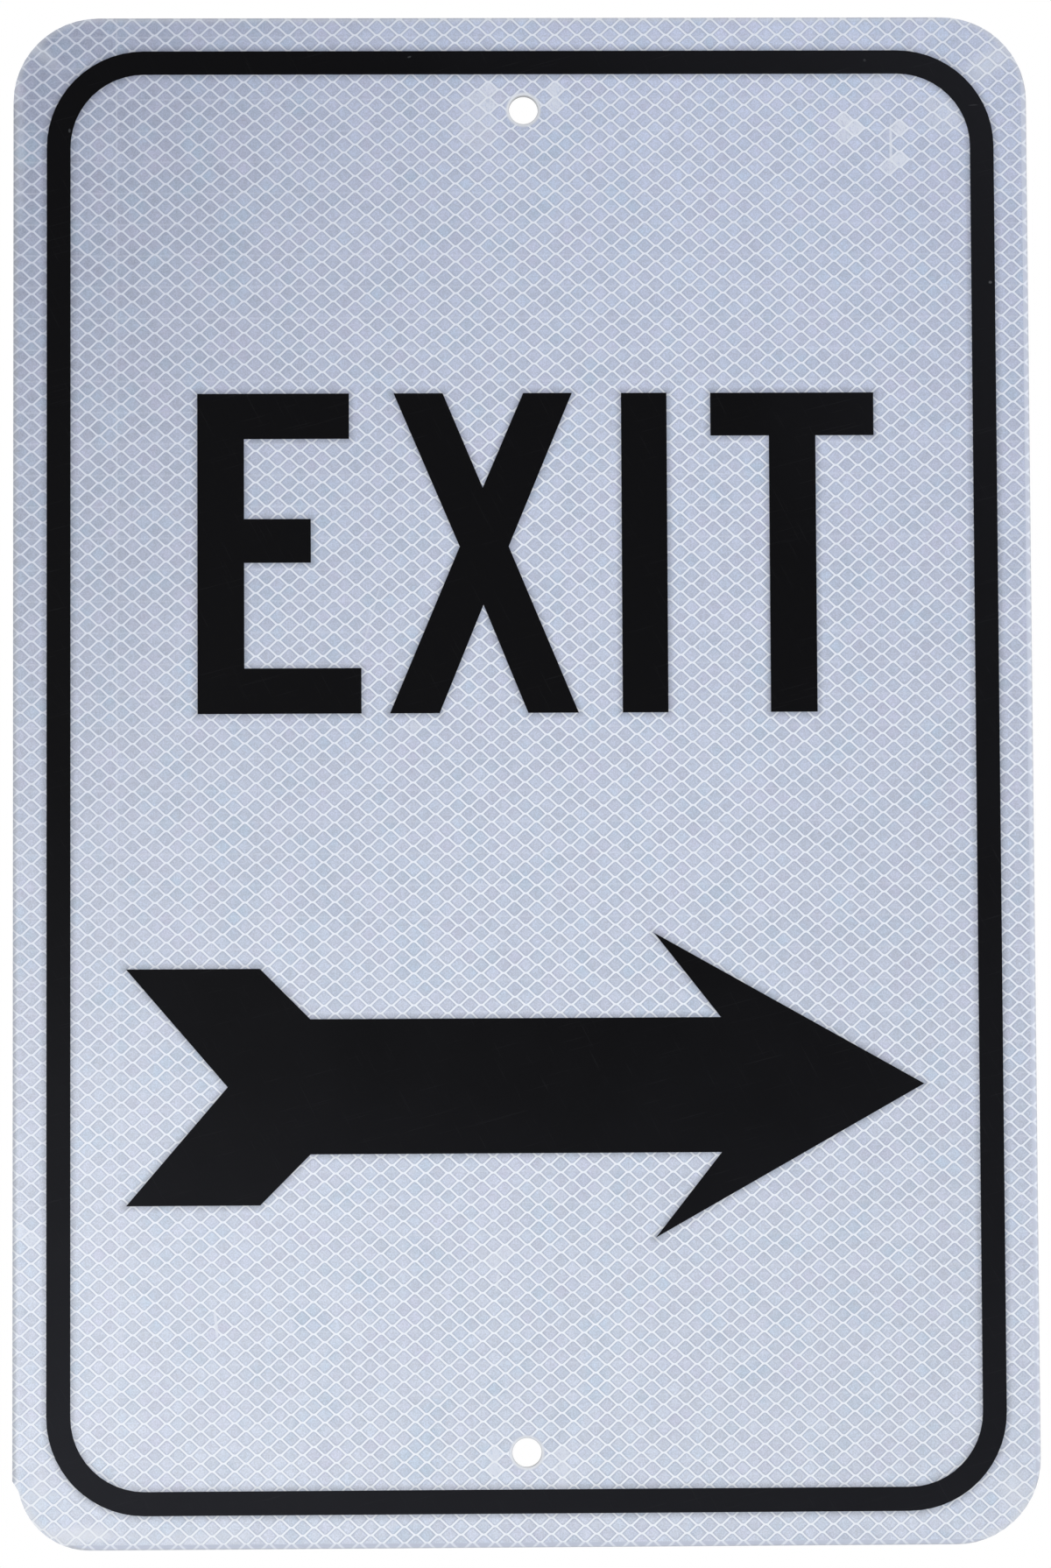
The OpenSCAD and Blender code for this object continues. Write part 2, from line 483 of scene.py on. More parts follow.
# The lattice as a pattern: how far a place lies inside its cell, and a chance for each cell
lattice_sense, given, result = effect(
    "lattice of welded cells",
    {
        "Place": None, "Pitch across": PITCH_ACROSS, "Pitch up": PITCH_UP,
        "Crossing across": CROSSING_ACROSS, "Crossing up": CROSSING_UP,
        "Half width": CELL_HALF_WIDTH, "Half height": CELL_HALF_HEIGHT,
    },
    ["Inside", "Middle across", "Middle up", "Chance", "Second chance"],
)
spot = wire(lattice_sense, "ShaderNodeSeparateXYZ", {0: given["Place"]}).outputs
steps = []
for axis, start, pitch in ((0, "Crossing across", "Pitch across"), (2, "Crossing up", "Pitch up")):
    off_crossing = calc(lattice_sense, "SUBTRACT", spot[axis], given[start])
    steps.append(calc(lattice_sense, "DIVIDE", off_crossing, given[pitch]))
slants = [calc(lattice_sense, "ADD", *steps), calc(lattice_sense, "SUBTRACT", *steps)]
counts = [calc(lattice_sense, "FLOOR", value) for value in slants]
within = [
    calc(lattice_sense, "SUBTRACT", calc(lattice_sense, "SUBTRACT", value, count), 0.5)
    for value, count in zip(slants, counts)
]
shares = []
for operation, pitch, half in (
    ("ADD", "Pitch across", "Half width"),
    ("SUBTRACT", "Pitch up", "Half height"),
):
    off_cell = product(lattice_sense, calc(lattice_sense, operation, *within), given[pitch])
    reach = calc(lattice_sense, "ABSOLUTE", product(lattice_sense, off_cell, 0.5))
    shares.append(calc(lattice_sense, "DIVIDE", reach, given[half]))
to_side = calc(lattice_sense, "SUBTRACT", 1.0, calc(lattice_sense, "ADD", *shares))
SIDE_SCALE = 1 / math.hypot(1 / CELL_HALF_WIDTH, 1 / CELL_HALF_HEIGHT)
lattice_sense.links.new(product(lattice_sense, to_side, SIDE_SCALE), result["Inside"])
cell_steps = [
    calc(lattice_sense, "ADD", calc(lattice_sense, "ADD", *counts), 1.0),
    calc(lattice_sense, "SUBTRACT", *counts),
]
for step, pitch, start, label in (
    (cell_steps[0], "Pitch across", "Crossing across", "Middle across"),
    (cell_steps[1], "Pitch up", "Crossing up", "Middle up"),
):
    half_pitch = product(lattice_sense, given[pitch], 0.5)
    middle = calc(lattice_sense, "MULTIPLY_ADD", step, half_pitch, given[start])
    lattice_sense.links.new(middle, result[label])
pair = wire(lattice_sense, "ShaderNodeCombineXYZ", {0: counts[0], 1: counts[1]}).outputs[0]
drawn = wire(lattice_sense, "ShaderNodeTexWhiteNoise", {"Vector": pair}).outputs
lattice_sense.links.new(drawn["Value"], result["Chance"])
second = wire(lattice_sense, "ShaderNodeSeparateColor", {0: drawn["Color"]}).outputs[1]
lattice_sense.links.new(second, result["Second chance"])


def mixed(tree, across, up, direction, start):
    """How far a place lies along a direction, from a start."""
    part = calc(tree, "MULTIPLY_ADD", up, direction[1], start)
    return calc(tree, "MULTIPLY_ADD", across, direction[0], part)


def length_squared(tree, first, second):
    """The square of the distance that two sides at right angles span."""
    return calc(tree, "MULTIPLY_ADD", first, first, product(tree, second, second))


def worn_places(name, raggedness, marks):
    """A group that shows soft ragged spots. Each is a place, half sizes, a turn and a strength."""
    tree, given, result = effect(name, {"Place": None, "Grain": 2.2, "Softness": 0.55}, ["Mark"])
    per_grain = calc(tree, "DIVIDE", 1.0, given["Grain"])
    fine = wire(tree, "ShaderNodeVectorMath", {0: given["Place"], 3: per_grain}, operation="SCALE")
    ragged = product(tree, cloud(tree, fine.outputs[0], 1.0, 3.0, 0.6), raggedness)
    middling = 1.0 + raggedness / 2
    inner = calc(tree, "SUBTRACT", middling, given["Softness"])
    spot = wire(tree, "ShaderNodeSeparateXYZ", {0: given["Place"]}).outputs
    worn = 0.0
    for x, z, half_x, half_z, turn, strength in marks:
        middle = Vector((x, z))
        turn = math.radians(turn)
        along = Vector((math.cos(turn), math.sin(turn))) / half_x
        aside = Vector((-math.sin(turn), math.cos(turn))) / half_z
        first = mixed(tree, spot[0], spot[2], along, -along.dot(middle))
        second = mixed(tree, spot[0], spot[2], aside, -aside.dot(middle))
        square = length_squared(tree, second, first)
        away = calc(tree, "ADD", calc(tree, "SQRT", square), ragged)
        shown = between(tree, away, inner, middling + 0.1, strength, 0.0)
        worn = calc(tree, "MAXIMUM", worn, shown)
    tree.links.new(worn, result["Mark"])
    return tree


# Where something pressed on the film, in millimetres from the sign's middle and degrees
press_marks = worn_places("pressed marks", 0.9, (
    (113.8, 195.0, 3.4, 3.6, 0, 0.95), (113.2, 184.8, 3.8, 3.8, 0, 1.0),
    (99.0, 195.4, 2.2, 4.6, 42, 0.85), (97.2, 191.0, 1.6, 2.8, 10, 0.55),
    (108.2, 207.1, 2.4, 3.0, 0, 0.4), (127.5, 199.8, 5.5, 5.0, 0, 0.36),
    (-9.8, 204.4, 3.2, 4.6, -30, 0.85), (-13.4, 196.0, 5.0, 8.0, 30, 0.3),
    (9.8, 203.6, 1.8, 4.2, -12, 0.8), (-9.9, -203.9, 2.0, 4.2, 0, 0.9),
    (9.6, -203.4, 2.5, 3.6, 15, 0.7), (12.0, -208.0, 1.5, 3.4, -30, 0.7),
    (-9.3, -143.2, 4.8, 3.0, 0, 0.5), (-32.0, 14.0, 2.2, 2.4, 0, 0.4),
    (-149.0, -136.0, 2.4, 3.6, 0, 0.6),
))

# Where something thin was drawn over the film
drawn_marks = worn_places("drawn marks", 0.9, (
    (111.4, 190.0, 0.5, 9.0, 0, 0.8), (-92.2, -162.0, 0.6, 5.2, 6, 0.9),
    (-8.7, -150.0, 0.6, 4.4, -8, 0.5), (-46.0, 46.0, 0.35, 15.0, -16, 0.35),
))

# Where handling has fogged the margin outside the border
fogged_margin = worn_places("fogged margin", 0.7, (
    (-131.0, -224.0, 13.0, 3.4, 0, 0.62), (-146.0, -213.0, 5.0, 12.0, -20, 0.3),
    (-100.0, -225.0, 30.0, 4.0, 0, 0.25), (145.0, -214.0, 5.5, 10.0, 25, 0.32),
    (-145.0, 219.0, 10.0, 3.0, -40, 0.3), (141.0, 215.0, 12.0, 5.5, 40, 0.3),
    (-150.5, 190.0, 2.0, 30.0, 0, 0.2), (139.0, -225.5, 10.0, 3.0, 0, 0.2),
))

# Painted light and shade, a slow change over the face: a slope for each millimetre across and up,
# a twist and two bows for each square millimetre, and soft patches
PATCH_SIZE = 38.0
painted_light_and_patches, given, result = effect(
    "slow change over the face",
    {
        "Place": None, "Start": 0.5, "Across": 0.0, "Up": 0.0,
        "Twist": 0.0, "Bow across": 0.0, "Bow up": 0.0, "Patches": 0.0,
    },
    ["Level"],
)
spot = wire(painted_light_and_patches, "ShaderNodeSeparateXYZ", {0: given["Place"]}).outputs
patchy = calc(painted_light_and_patches, "SUBTRACT", cloud(painted_light_and_patches, given["Place"], PATCH_SIZE, 3.0, 0.55), 0.5)
level = given["Start"]
for first, second, label in (
    (spot[0], 1.0, "Across"),
    (spot[2], 1.0, "Up"),
    (spot[0], spot[2], "Twist"),
    (spot[0], spot[0], "Bow across"),
    (spot[2], spot[2], "Bow up"),
    (patchy, 1.0, "Patches"),
):
    level = calc(painted_light_and_patches, "MULTIPLY_ADD", product(painted_light_and_patches, first, second), given[label], level)
painted_light_and_patches.links.new(wire(painted_light_and_patches, "ShaderNodeClamp", {0: level}).outputs[0], result["Level"])


# How far in from a cut edge the haze reaches, in millimetres
EDGE_HAZE = (0.3, 2.0)


def film_marks(tree, colour, place, marked, fogged, strength):
    """What wear does to the film's colour: pressed marks, fog, and haze at the cut edge."""
    colour = tint(tree, strength, colour, marked)
    fog = use(tree, fogged_margin, Place=place, Grain=4.0, Softness=0.8)["Mark"]
    colour = tint(tree, fog, colour, fogged)
    inside = use(tree, inside_edge, Place=place)["Inside"]
    haze = between(tree, inside, *EDGE_HAZE, 0.34, 0.0)
    return tint(tree, haze, colour, srgb(212, 214, 217))


def shaded(tree, colour, value, low, high, swing):
    """Darkens and lightens a colour by a share, as a value runs from low to high."""
    level = between(tree, value, low, high, 1.0 - swing, 1.0 + swing)
    return tint(tree, 1.0, colour, level, "MULTIPLY")


cell_film, tree, shader, place = finish("prismatic cells")
# The first three tones are the cells in painted shade, in painted light, and whitened by a painted sheen
deep, clear, painted_sheen_tone = srgb(148, 155, 178), srgb(193, 202, 226), srgb(208, 215, 229)
lavender, cyan = srgb(193, 191, 217), srgb(166, 193, 216)
weld_shadow, joint_tone = srgb(150, 160, 186), srgb(226, 231, 241)
HUE_PATCH = 13.0
PRISM_SIZE = 0.42
PRISM_PATCH = 1.5
lattice = use(tree, lattice_sense, Place=place)
# The cells are painted darkest at the top left and the sides, lighter and bluer at the top right, and
# whitened by a painted sheen towards the bottom, as light falls on the face, with soft patches
painted_light_level = use(
    tree,
    painted_light_and_patches,
    Place=place,
    Start=0.538,
    Across=0.00099,
    Up=0.00108,
    Twist=8.2e-6,
    Bow_across=-2.2e-5,
    Bow_up=1.8e-6,
    Patches=0.22,
)["Level"]
painted_sheen_level = use(
    tree, painted_light_and_patches, Place=place, Start=0.44, Across=-0.00023, Up=-0.00209, Patches=0.1
)["Level"]
colour = tint(tree, painted_sheen_level, tint(tree, painted_light_level, deep, clear), painted_sheen_tone)
hue = cloud(tree, place, HUE_PATCH, 3.0, 0.6)
colour = tint(tree, between(tree, hue, 0.5, 0.72, 0.0, 0.3), colour, lavender)
colour = tint(tree, between(tree, hue, 0.5, 0.28, 0.0, 0.3), colour, cyan)
# Each cell has a tone of its own, and its prisms catch the light unevenly
own_hue = lattice["Second chance"]
colour = tint(tree, between(tree, own_hue, 0.6, 1.0, 0.0, 0.12), colour, lavender)
colour = tint(tree, between(tree, own_hue, 0.4, 0.0, 0.0, 0.12), colour, cyan)
colour = shaded(tree, colour, lattice["Chance"], 0.0, 1.0, 0.045)
prism_grain = cloud(tree, place, PRISM_SIZE, 2.0, 0.7)
colour = shaded(tree, colour, prism_grain, 0.3, 0.7, 0.13)
colour = shaded(tree, colour, cloud(tree, place, PRISM_PATCH, 2.0, 0.6), 0.3, 0.7, 0.05)
colour = tint(tree, between(tree, lattice["Inside"], 0.1, 0.6, 0.42, 0.0), colour, weld_shadow)
# The film's tool was tiled, so faint level joints run across, with one upright joint
TILE_HEIGHT = 9.451
TILE_JOINT = 203.9
UPRIGHT_JOINT = -121.5
spot = wire(tree, "ShaderNodeSeparateXYZ", {0: place}).outputs
tile = calc(tree, "DIVIDE", calc(tree, "SUBTRACT", spot[2], TILE_JOINT), TILE_HEIGHT)
off_joint = calc(tree, "ABSOLUTE", calc(tree, "SUBTRACT", tile, calc(tree, "ROUND", tile)))
joint = between(tree, off_joint, 0.01, 0.045, 0.16, 0.0)
off_upright = calc(tree, "ABSOLUTE", calc(tree, "SUBTRACT", spot[0], UPRIGHT_JOINT))
upright_joint = between(tree, off_upright, 0.1, 0.4, 0.25, 0.0)
colour = tint(tree, calc(tree, "MAXIMUM", joint, upright_joint), colour, joint_tone)
# A pressed mark fills whole cells, with streaks and fine curls in them
STREAK_TURN = 0.2
STREAK_SIZE = (0.6, 1.0, 1.8)
CURL_SIZE = 1.3
MOST_PRESSED = 0.8
cell_middle = {0: lattice["Middle across"], 2: lattice["Middle up"]}
middle = wire(tree, "ShaderNodeCombineXYZ", cell_middle).outputs[0]
filled = use(tree, press_marks, Place=middle, Softness=0.25)["Mark"]
streaks = cloud(tree, stretched(tree, turned(tree, place, STREAK_TURN), STREAK_SIZE), 1.0, 3.0, 0.7)
streaked = product(tree, filled, between(tree, streaks, 0.32, 0.62, 0.2, 0.95))
curl = calc(tree, "SUBTRACT", cloud(tree, place, CURL_SIZE, 2.0, 0.6), 0.5)
curl = between(tree, calc(tree, "ABSOLUTE", curl), 0.0, 0.04, 1.6, 0.0)
drawn = use(tree, drawn_marks, Place=place)["Mark"]
pressed = calc(tree, "MAXIMUM", streaked, product(tree, curl, filled))
pressed = calc(tree, "MAXIMUM", pressed, drawn)
pressed = calc(tree, "MINIMUM", pressed, MOST_PRESSED)
colour = film_marks(tree, colour, place, srgb(221, 226, 238), srgb(222, 226, 234), pressed)
tree.links.new(colour, shader.inputs["Base Color"])
shader.inputs["Roughness"].default_value = 0.34
raise_relief(tree, shader, prism_grain, 0.006)

seal_film, tree, shader, place = finish("welded seals")
# The welds are painted darker towards the sides, most at the left, as light falls on the face, and
# whitened by a painted sheen towards the bottom, with soft patches
painted_light_level = use(
    tree,
    painted_light_and_patches,
    Place=place,
    Start=0.66,
    Across=0.00108,
    Up=0.00015,
    Twist=3.8e-6,
    Bow_across=-1.9e-5,
    Patches=0.1,
)["Level"]
painted_sheen_level = use(tree, painted_light_and_patches, Place=place, Start=0.339, Up=-0.00153, Patches=0.15)["Level"]
colour = tint(tree, painted_light_level, srgb(198, 204, 220), srgb(238, 243, 253))
colour = tint(tree, painted_sheen_level, colour, srgb(244, 248, 253))
WELD_GRAIN = 0.7
weld_grain = cloud(tree, place, WELD_GRAIN, 3.0, 0.6)
colour = tint(tree, between(tree, weld_grain, 0.45, 0.85, 0.0, 0.25), colour, srgb(203, 210, 223))
# A pressed weld whitens less than a pressed cell
faintly = product(tree, use(tree, press_marks, Place=place, Softness=0.9)["Mark"], 0.45)
pressed = calc(tree, "MAXIMUM", faintly, use(tree, drawn_marks, Place=place)["Mark"])
colour = film_marks(tree, colour, place, srgb(222, 227, 236), srgb(230, 234, 240), pressed)
tree.links.new(colour, shader.inputs["Base Color"])
shader.inputs["Roughness"].default_value = 0.4
raise_relief(tree, shader, weld_grain, 0.02)

# Middles of the bolt holes, across and up. Distances from them are in millimetres too:
# where the lattice shows again on the crushed ring, and where its torn rim is dark.
HOLES = ((0.75, 200.75), (-0.15, -200.75))
LATTICE_AGAIN = (4.7, 5.45)
DARK_RIM = (4.6, 4.35)
# Depths inside the cut edge: the crushed film's pale inner part, and the bright cut line
PALE_INSIDE = (1.0, 1.6)
CUT_LINE = (0.5, 0.1)
CRUSH_GRAIN = 1.1
crushed_film, tree, shader, place = finish("film crushed at the cuts")
inside = use(tree, inside_edge, Place=place)["Inside"]
crush = cloud(tree, place, CRUSH_GRAIN, 3.0, 0.65)
colour = tint(tree, crush, srgb(204, 207, 214), srgb(222, 224, 229))
colour = tint(tree, between(tree, inside, *PALE_INSIDE, 0.0, 0.55), colour, srgb(226, 230, 238))
spot = wire(tree, "ShaderNodeSeparateXYZ", {0: place}).outputs
from_holes = []
for across, up in HOLES:
    sides = calc(tree, "SUBTRACT", spot[0], across), calc(tree, "SUBTRACT", spot[2], up)
    from_holes.append(calc(tree, "SQRT", length_squared(tree, *sides)))
off_hole = calc(tree, "MINIMUM", *from_holes)
in_cell = use(tree, lattice_sense, Place=place)["Inside"]
own_tone = tint(tree, between(tree, in_cell, -0.1, 0.2), srgb(222, 228, 240), srgb(184, 192, 212))
colour = tint(tree, between(tree, off_hole, *LATTICE_AGAIN, 0.0, 0.8), colour, own_tone)
colour = tint(tree, between(tree, off_hole, *DARK_RIM, 0.0, 0.6), colour, srgb(150, 153, 160))
colour = tint(tree, between(tree, inside, *CUT_LINE, 0.0, 0.5), colour, srgb(176, 178, 181))
tree.links.new(colour, shader.inputs["Base Color"])
shader.inputs["Roughness"].default_value = 0.45
raise_relief(tree, shader, crush, 0.05)

cells = plain_mesh(
    "cell_lattice",
    cell_lattice(),
    Pitch_across=PITCH_ACROSS * MM,
    Pitch_up=PITCH_UP * MM,
    Columns=COLUMNS,
    Rows=ROWS,
    Cell_half_width=CELL_HALF_WIDTH * MM,
    Cell_half_height=CELL_HALF_HEIGHT * MM,
    Tip_radius=CELL_TIP_RADIUS * MM,
    Middle=(CROSSING_ACROSS * MM, SHEETING_FRONT, (CROSSING_UP + PITCH_UP / 2) * MM),
    Cell_film=cell_film,
)
sheeting_mesh = lay_lattice(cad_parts["reflective_sheeting"].data, cells)
for material in (cell_film, seal_film, crushed_film):
    sheeting_mesh.materials.append(material)
sheeting = placed("sheeting_with_lattice", sheeting_mesh)

# The bake map's places, from 0 to 1: the middle of each kind of face, and its size
CELLS_MIDDLE = 0.25
WELDS_MIDDLE = 0.75
FRONT_MIDDLE_UP = 0.37
FRONT_SIZE = (0.47, 0.7)
BACK_MIDDLE = (0.2, 0.87)
BACK_SIZE = (0.3, 0.2)
# The cut edges lie unrolled in strips: the outline's first, then one for each hole
STRIP_START = (0.42, 0.8)
STRIP_LENGTH = 0.55
STRIP_STEP = 0.06
STRIP_PER_DEPTH = 0.04
DEEPEST_FILM = 1.7
HOLE_REACH = 10.0
# A face whose normal leans less than this to the front or the back is a cut edge
FACING = 0.3


def bake_places(mesh):
    """Flat places for a bake map: cells, welds, back and cut edges lie apart."""
    layer = mesh.uv_layers.new(name="OFBake")
    for polygon in mesh.polygons:
        turns = []
        for loop in polygon.loop_indices:
            co = mesh.vertices[mesh.loops[loop].vertex_index].co
            spot = flat(co)
            x, z = spot.x / HALF_WIDTH / 2, spot.y / HALF_HEIGHT / 2
            if polygon.normal.y < -FACING:
                across = CELLS_MIDDLE if polygon.material_index == CELL else WELDS_MIDDLE
                uv = (across + FRONT_SIZE[0] * x, FRONT_MIDDLE_UP + FRONT_SIZE[1] * z)
            elif polygon.normal.y > FACING:
                uv = (BACK_MIDDLE[0] + BACK_SIZE[0] * x, BACK_MIDDLE[1] + BACK_SIZE[1] * z)
            else:
                hole = next((h for h in HOLES if math.dist(spot, h) < HOLE_REACH), None)
                middle = hole or (0, 0)
                turn = math.atan2(spot.y - middle[1], spot.x - middle[0]) / math.tau + 0.5
                if turns and abs(turn - turns[0]) > 0.5:
                    turn += 1 if turn < turns[0] else -1
                turns.append(turn)
                strip = STRIP_STEP * (HOLES.index(hole) + 1 if hole else 0)
                height = strip + STRIP_PER_DEPTH * (-co.y / MM - DEEPEST_FILM)
                uv = (STRIP_START[0] + STRIP_LENGTH * turn, STRIP_START[1] + height)
            layer.data[loop].uv = uv


bake_places(sheeting_mesh)
sheeting_mesh.shade_smooth()
SHARP_TURN = math.radians(25)
sheeting_mesh.set_sharp_from_angle(angle=SHARP_TURN)
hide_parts("reflective_sheeting")
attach(sheeting, "root")


# Black border and arrow
# Overlay film, knife cut to shape and pressed on the sheeting. It is a satin black
# that shows a trace of the lattice under it, with a little lint and fine rubbing.
black_film, tree, shader, place = finish("black overlay film")
black, painted_sheen_black, dusty = srgb(4, 4, 6), srgb(33, 34, 39), srgb(120, 122, 126)
# The black is painted paler towards the bottom and the outer edges, a painted sheen, with soft patches
haze = use(
    tree,
    painted_light_and_patches,
    Place=place,
    Start=-0.1,
    Across=0.00047,
    Up=-0.0012,
    Twist=8e-6,
    Bow_across=8.5e-6,
    Bow_up=1e-5,
    Patches=0.2,
)["Level"]
colour = tint(tree, haze, black, painted_sheen_black)
rubs = use(tree, hairlines, Place=place, Turn=0.25, Width=0.3, Length=22.0, Share=0.5)["Scratch"]
cross_rubs = use(tree, hairlines, Place=place, Turn=-1.1, Width=0.24, Length=16.0, Share=0.48)["Scratch"]
rubbed = calc(tree, "MAXIMUM", rubs, cross_rubs)
colour = tint(tree, product(tree, rubbed, 0.03), colour, dusty)
lint = worn_places("lint on the film", 0.5, (
    (136.4, 201.9, 1.7, 0.16, 3, 0.14), (141.0, 148.1, 0.6, 0.5, 0, 0.35),
    (103.7, 215.6, 0.5, 0.5, 0, 0.12), (-33.5, 216.8, 0.7, 0.3, 20, 0.2),
    (-135.6, 194.6, 0.4, 0.7, 0, 0.25),
))
colour = tint(tree, use(tree, lint, Place=place, Grain=0.4)["Mark"], colour, dusty)
tree.links.new(colour, shader.inputs["Base Color"])
SATIN_PATCH = 30.0
SURFACE_GRAIN = 1.6
satin = calc(tree, "MULTIPLY_ADD", cloud(tree, place, SATIN_PATCH, 3.0, 0.6), 0.16, 0.42)
tree.links.new(calc(tree, "MULTIPLY_ADD", rubbed, 0.12, satin), shader.inputs["Roughness"])
shader.inputs["Specular IOR Level"].default_value = 0.05
# A trace of the cells shows through, 0.012 mm high, under a grain of 0.01 mm
trace = between(tree, use(tree, lattice_sense, Place=place)["Inside"], -0.2, 0.5)
surface = product(tree, cloud(tree, place, SURFACE_GRAIN, 3.0, 0.6), 0.01)
raise_relief(tree, shader, calc(tree, "MULTIPLY_ADD", trace, 0.012, surface), 1.0, 0.6)
for node in ("border_film", "arrow_film"):
    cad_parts[node].material_slots[0].material = black_film


# Black letters
# Four plain block letters, cut from the same film and set side by side above the
# arrow. Each outline is given in millimetres across and up from the sign's middle.
LETTER_OUTLINES = {
    "letter_E": [
        (-97.4, 18.9), (-48.5, 18.9), (-48.5, 32.5), (-83.45, 32.5), (-83.45, 64.15),
        (-63.5, 64.15), (-63.5, 77.3), (-83.45, 77.3), (-83.45, 101.35), (-52.0, 101.35),
        (-52.0, 115.0), (-97.4, 115.0),
    ],
    "letter_X": [
        (-40.0, 18.9), (-25.15, 18.9), (-11.9, 51.4), (1.35, 18.9), (16.45, 18.9),
        (-4.3, 68.85), (14.85, 115.0), (0.25, 115.0), (-12.0, 86.5), (-23.9, 115.0),
        (-38.6, 115.0), (-18.95, 68.85),
    ],
    "letter_I": [(29.6, 18.9), (43.25, 18.9), (43.25, 114.95), (29.6, 114.95)],
    "letter_T": [
        (73.95, 18.9), (87.9, 18.9), (87.9, 102.0), (105.4, 102.0), (105.4, 114.9),
        (56.4, 114.9), (56.4, 102.0), (73.95, 102.0),
    ],
}
FILM_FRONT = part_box("border_film")[0].y


def cut_film(name, outline):
    """A closed flat piece of film with the given outline, lying on the sheeting."""
    count = len(outline)
    places = [(x * MM, y, z * MM) for y in (SHEETING_FRONT, FILM_FRONT) for x, z in outline]
    faces = [list(range(count - 1, -1, -1)), list(range(count, 2 * count))]
    faces += [[i, (i + 1) % count, count + (i + 1) % count, count + i] for i in range(count)]
    mesh = bpy.data.meshes.new(name)
    mesh.from_pydata(places, [], faces)
    mesh.materials.append(black_film)
    return placed(name, mesh)


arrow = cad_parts["arrow_film"]
cut_pieces = [arrow]
for name, outline in LETTER_OUTLINES.items():
    letter = cut_film(name, outline)
    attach(letter, "root")
    cut_pieces.append(letter)

# The sheeting lights up from within, so it is dimmer for a few millimetres beside any
# black film, which lets no light in. At the film's edge it loses this share of its light.
BORDER_WIDTH = 7.1
BORDER_RADIUS = 29.1
DIM_REACH = 2.3
DIM_SHARE = 0.31


def straight_cuts(piece):
    """The straight runs of a piece's outline, from its walls, in millimetres."""
    verts = piece.data.vertices
    for polygon in piece.data.polygons:
        corners = [verts[k].co for k in polygon.vertices]
        ends = [flat(corner) for corner in corners if abs(corner.y - FILM_FRONT) < SAME_PLACE]
        if abs(polygon.normal.y) < 0.5 and len(ends) == 2:
            yield ends


beside_film, given, result = effect("distance from the black film", {"Place": None}, ["Beside"])
border_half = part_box("border_film")[1] / MM
from_outline, from_opening = (
    use(
        beside_film,
        inside_edge,
        Place=given["Place"],
        Half_width=border_half.x - inset,
        Half_height=border_half.z - inset,
        Corner_radius=BORDER_RADIUS - inset,
    )["Inside"]
    for inset in (0.0, BORDER_WIDTH)
)
nearest = calc(beside_film, "MAXIMUM", product(beside_film, from_outline, -1.0), from_opening)
nearest = calc(beside_film, "MAXIMUM", nearest, 0.0)
nearest = product(beside_film, nearest, nearest)
spot = wire(beside_film, "ShaderNodeSeparateXYZ", {0: given["Place"]}).outputs
# The arrow is the same above and below its middle, so its upper half stands for both
arrow_line = sum(corner.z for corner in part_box("arrow_film")) / MM / 2
off_line = calc(beside_film, "ABSOLUTE", calc(beside_film, "SUBTRACT", spot[2], arrow_line))
mirrored = calc(beside_film, "ADD", off_line, arrow_line)
for piece in cut_pieces:
    height = mirrored if piece == arrow else spot[2]
    for start, end in straight_cuts(piece):
        if piece == arrow and start.y + end.y < 2 * arrow_line:
            continue
        length = (end - start).length
        along = (end - start) / length
        aside = Vector((-along.y, along.x))
        run = mixed(beside_film, spot[0], height, along, -along.dot(start))
        off = mixed(beside_film, spot[0], height, aside, -aside.dot(start))
        on_run = wire(beside_film, "ShaderNodeClamp", {0: run, "Max": length}).outputs[0]
        past_end = calc(beside_film, "SUBTRACT", run, on_run)
        square = length_squared(beside_film, off, past_end)
        nearest = calc(beside_film, "MINIMUM", nearest, square)
beside_film.links.new(calc(beside_film, "SQRT", nearest), result["Beside"])

for film in (cell_film, seal_film):
    tree = film.node_tree
    base = found(tree, "BSDF_PRINCIPLED").inputs["Base Color"]
    beside = use(tree, beside_film, Place=found(tree, "MAPPING").outputs[0])["Beside"]
    dim = between(tree, beside, 0.0, DIM_REACH, DIM_SHARE, 0.0)
    tree.links.new(tint(tree, dim, base.links[0].from_socket, srgb(0, 0, 0)), base)


# Floor, light and camera
# The sign hangs a little above a pale floor, in a white studio. A soft lamp low on the
# left and one on the right light its face, and a third one behind lights its back.
FLOOR_DROP = 0.12
FLOOR_HALF = 3.0
# The floor fades to white between these distances from its middle
FLOOR_FADE = (0.25, 0.75)
floor_height = -HALF_HEIGHT * MM - FLOOR_DROP
floor_corners = ((-1, -1), (1, -1), (1, 1), (-1, 1))
floor_mesh = bpy.data.meshes.new("floor")
floor_mesh.from_pydata(
    [(x * FLOOR_HALF, y * FLOOR_HALF, floor_height) for x, y in floor_corners], [], [(0, 1, 2, 3)]
)
floor = placed("floor", floor_mesh)
floor_paint = bpy.data.materials.new("pale floor")
floor_paint.use_nodes = True
tree = floor_paint.node_tree
shader = found(tree, "BSDF_PRINCIPLED")
shader.inputs["Base Color"].default_value = (0.8, 0.8, 0.8, 1)
shader.inputs["Roughness"].default_value = 0.8
shader.inputs["Specular IOR Level"].default_value = 0.1


def seen_directly(tree):
    """1 for rays that see a white background: the camera's, and those by gloss or glass."""
    path = wire(tree, "ShaderNodeLightPath").outputs
    seen = calc(tree, "MAXIMUM", path["Is Camera Ray"], path["Is Glossy Ray"])
    return calc(tree, "MAXIMUM", seen, path["Is Transmission Ray"])


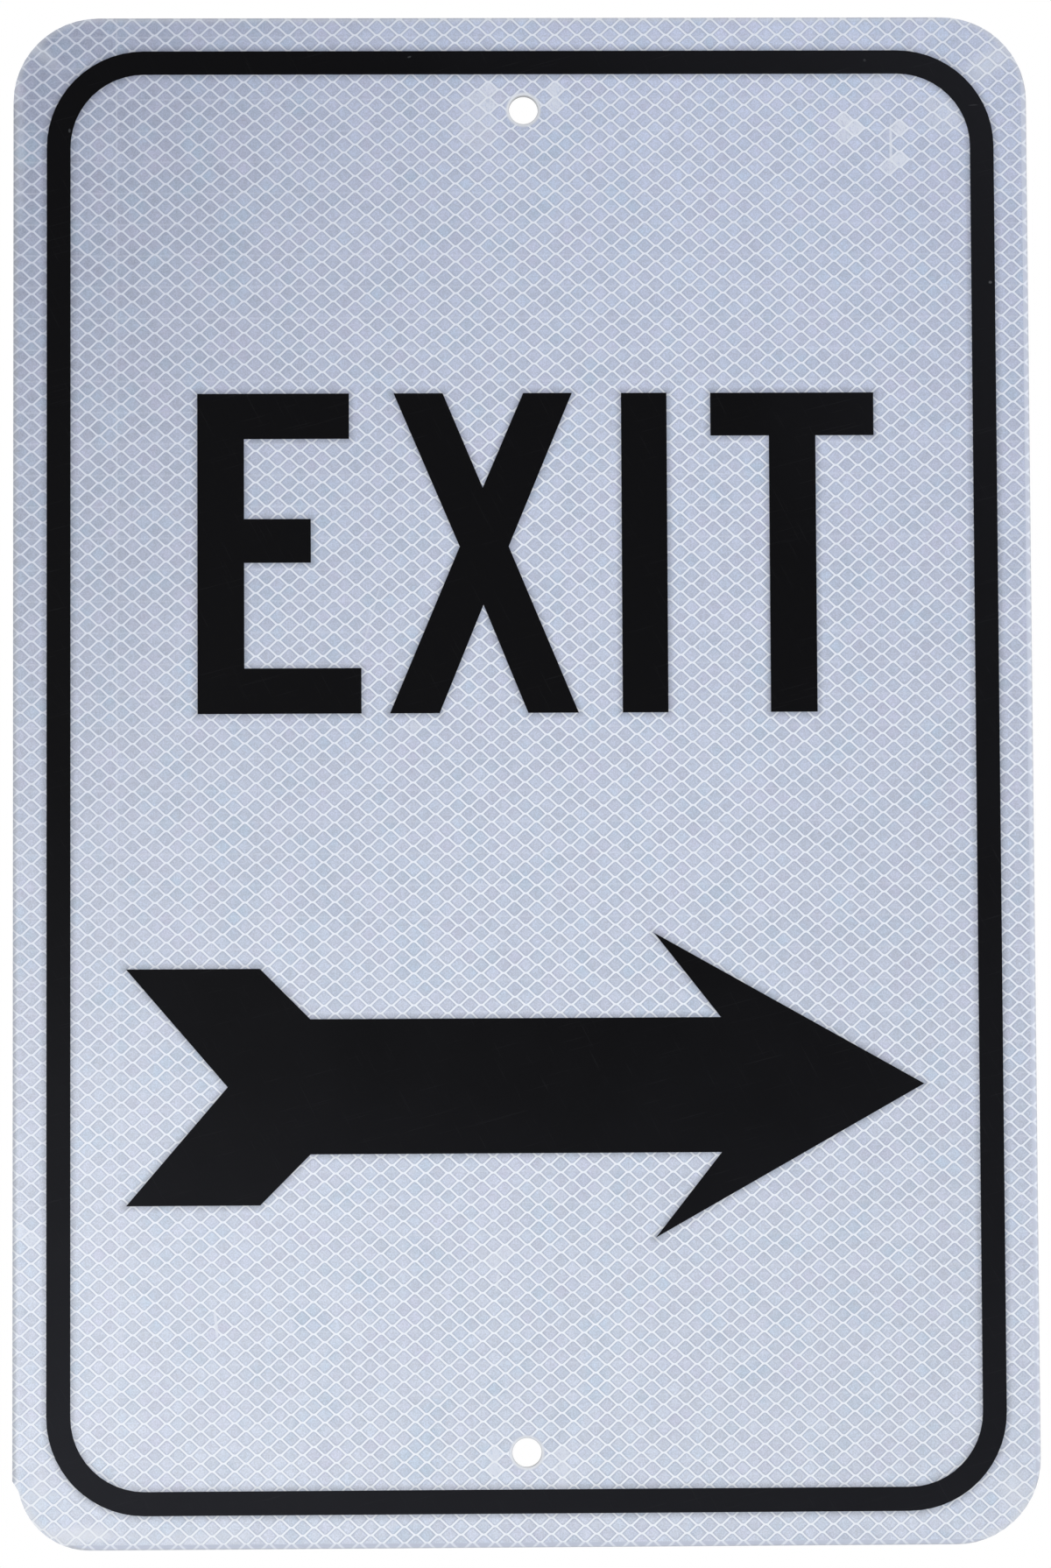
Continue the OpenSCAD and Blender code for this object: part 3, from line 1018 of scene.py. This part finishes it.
place = wire(tree, "ShaderNodeTexCoord").outputs["Object"]
level_place = wire(tree, "ShaderNodeVectorMath", {0: place, 1: (1, 1, 0)}, operation="MULTIPLY")
away = wire(tree, "ShaderNodeVectorMath", {0: level_place.outputs[0]}, operation="LENGTH")
far = product(tree, between(tree, away.outputs["Value"], *FLOOR_FADE), seen_directly(tree))
white = wire(tree, "ShaderNodeEmission", {"Color": (1, 1, 1, 1), "Strength": 1.0}).outputs[0]
blend = wire(tree, "ShaderNodeMixShader", {0: far, 1: shader.outputs[0], 2: white}).outputs[0]
tree.links.new(blend, found(tree, "OUTPUT_MATERIAL").inputs["Surface"])
floor_mesh.materials.append(floor_paint)

AMBIENT = 0.35
world = bpy.data.worlds.new("white studio")
bpy.context.scene.world = world
world.use_nodes = True
tree = world.node_tree
sky = found(tree, "BACKGROUND")
sky.inputs["Color"].default_value = (1, 1, 1, 1)
strength = wire(
    tree, "ShaderNodeMapRange", {"Value": seen_directly(tree), "To Min": AMBIENT, "To Max": 1.0}
).outputs[0]
tree.links.new(strength, sky.inputs["Strength"])


def soft_lamp(name, place, watts, size):
    """A square soft lamp that faces the middle of the sign."""
    data = bpy.data.lights.new(name, "AREA")
    data.energy = watts
    data.size = size
    lamp = placed(name, data)
    lamp.location = place
    lamp.rotation_euler = (-Vector(place)).to_track_quat("-Z", "Y").to_euler()


soft_lamp("lamp low left", (-0.4, -0.7, -0.3), 4.85, 0.6)
soft_lamp("lamp right", (1.3, -0.7, 0.1), 11.2, 0.6)
soft_lamp("lamp behind", (0.5, 1.2, 0.9), 9.0, 0.8)

# The place and the lens of the camera were worked out from the sign's corners
CAMERA_PLACE = (-0.0174, -1.178, -0.0561)
CAMERA_TURN = (92.6163, 0.2888, -0.853)
FILM_HEIGHT = 24.0
LENS = 60.335
camera_data = bpy.data.cameras.new("camera")
camera_data.sensor_fit = "VERTICAL"
camera_data.sensor_height = FILM_HEIGHT
camera_data.lens = LENS
camera_data.clip_start = 0.01
camera = placed("camera", camera_data)
camera.location = CAMERA_PLACE
camera.rotation_euler = [math.radians(angle) for angle in CAMERA_TURN]
bpy.context.scene.camera = camera
bpy.context.scene.view_settings.view_transform = "Standard"
